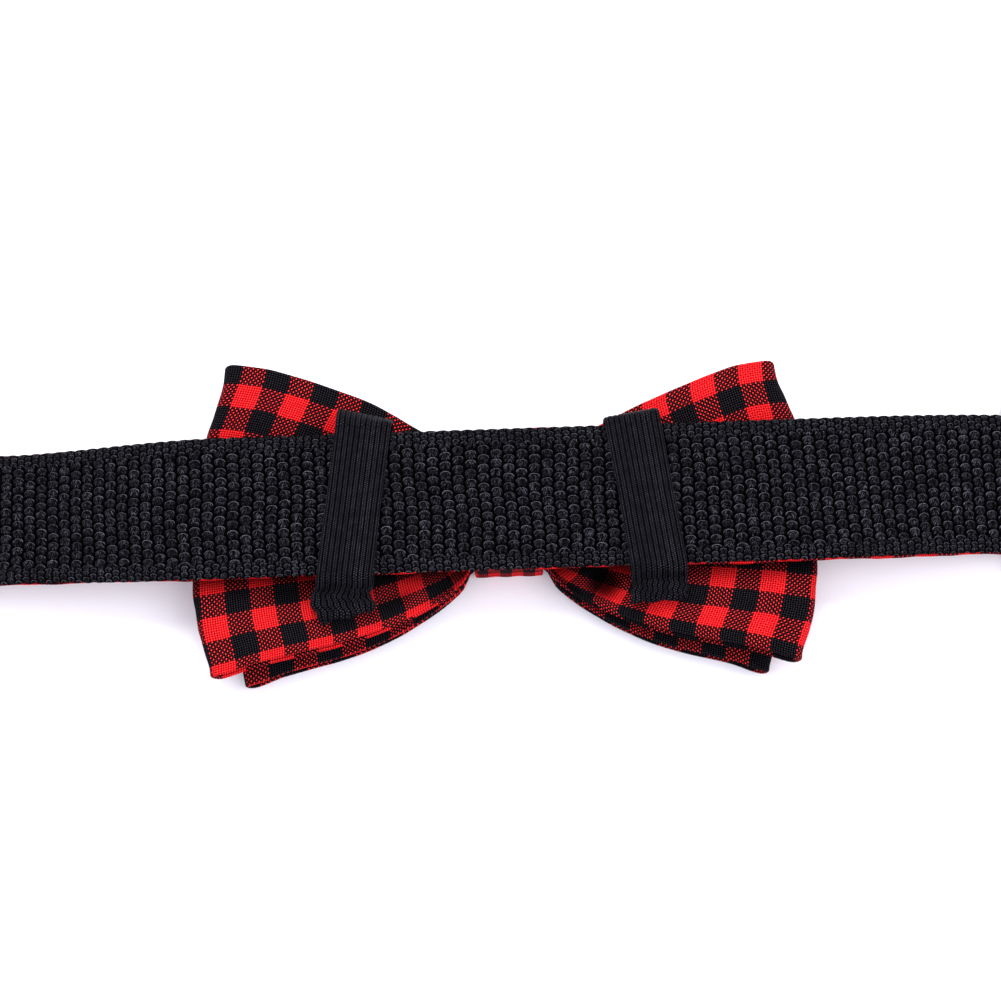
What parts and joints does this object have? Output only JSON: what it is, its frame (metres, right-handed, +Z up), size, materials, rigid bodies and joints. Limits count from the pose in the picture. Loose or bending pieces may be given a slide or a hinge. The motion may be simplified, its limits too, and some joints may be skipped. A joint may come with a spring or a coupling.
{
  "type": "pet bow tie collar",
  "caption": "Open webbing collar for a small pet, lying face down, with a two-tier checked bow tie held on by elastic loops, a slider and a side-release buckle.",
  "frame": {"origin": "middle of the flat front face of the knot, in the plane that the collar rests on", "axes": "+X along the strap towards the slider and the socket half, +Y across the strap, +Z up, from the bow's front to the strap's neck side"},
  "size_m": [0.4227, 0.0574, 0.0155],
  "materials": {
    "black_webbing": "coarse plain-weave polyester webbing, near black, with a dull sheen",
    "red_black_check": "plain-weave cotton in a red and black check of about 4 mm squares, matt",
    "black_elastic": "flat black elastic with fine ribs along its length, matt",
    "black_plastic": "moulded black plastic, satin"
  },
  "bodies": {
    "root": {"strap_webbing": "black_webbing", "plaid_facing": "red_black_check", "back_bow": "red_black_check", "front_bow": "red_black_check", "knot": "red_black_check", "elastic_left": "black_elastic", "elastic_right": "black_elastic", "slider": "black_plastic", "buckle_prongs": "black_plastic", "buckle_socket": "black_plastic"}
  },
  "joints": []
}
